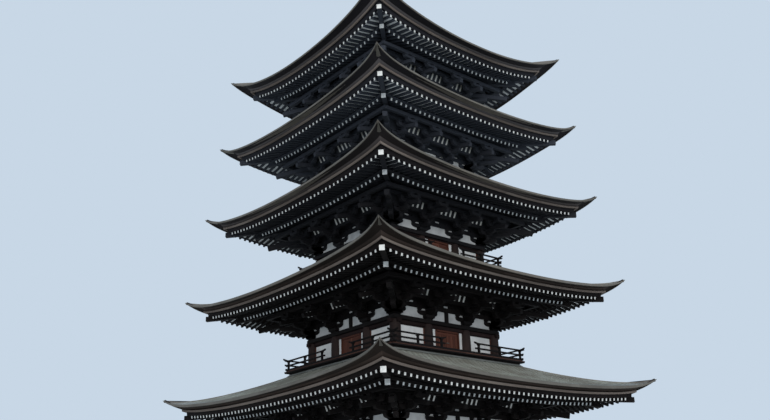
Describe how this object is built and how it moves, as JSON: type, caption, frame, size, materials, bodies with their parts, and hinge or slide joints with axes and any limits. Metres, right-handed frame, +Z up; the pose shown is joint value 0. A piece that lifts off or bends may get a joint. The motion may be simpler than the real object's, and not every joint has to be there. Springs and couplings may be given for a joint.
{
  "type": "five-storey pagoda",
  "caption": "Square timber pagoda with upswept copper roofs, stepped brackets, balconies, a stone podium and a ringed metal finial.",
  "frame": {"origin": "on the ground at the middle of the square plan", "axes": "+Z up; each side of the plan faces along X or Y"},
  "size_m": [11.806, 11.806, 30],
  "materials": {
    "timber": "dark stained",
    "door_timber": "reddish brown stain",
    "plaster": "matt lime plaster",
    "copper": "weathered copper sheet",
    "granite": "dressed stone",
    "bronze": "dark patina"
  },
  "bodies": {
    "root": {"storey_1_frame": "timber", "storey_1_walls": "plaster", "storey_1_doors": "door_timber", "storey_1_brackets": "timber", "storey_1_purlin": "timber", "storey_1_rafters": "timber", "storey_1_roof": "copper", "storey_2_frame": "timber", "storey_2_walls": "plaster", "storey_2_doors": "door_timber", "storey_2_brackets": "timber", "storey_2_purlin": "timber", "storey_2_rafters": "timber", "storey_2_roof": "copper", "storey_2_floor": "timber", "storey_2_railing": "timber", "storey_3_frame": "timber", "storey_3_walls": "plaster", "storey_3_doors": "door_timber", "storey_3_brackets": "timber", "storey_3_purlin": "timber", "storey_3_rafters": "timber", "storey_3_roof": "copper", "storey_3_floor": "timber", "storey_3_railing": "timber", "storey_4_frame": "timber", "storey_4_walls": "plaster", "storey_4_doors": "door_timber", "storey_4_brackets": "timber", "storey_4_purlin": "timber", "storey_4_rafters": "timber", "storey_4_roof": "copper", "storey_4_floor": "timber", "storey_4_railing": "timber", "storey_5_frame": "timber", "storey_5_walls": "plaster", "storey_5_doors": "door_timber", "storey_5_brackets": "timber", "storey_5_purlin": "timber", "storey_5_rafters": "timber", "storey_5_roof": "copper", "storey_5_floor": "timber", "storey_5_railing": "timber", "podium": "granite", "steps_front": "granite", "steps_right": "granite", "steps_back": "granite", "steps_left": "granite", "finial_box": "bronze", "finial_bowl": "bronze", "finial_lotus": "bronze", "finial_mast_and_rings": "bronze", "finial_flame": "bronze", "finial_jewel": "bronze"}
  },
  "joints": []
}
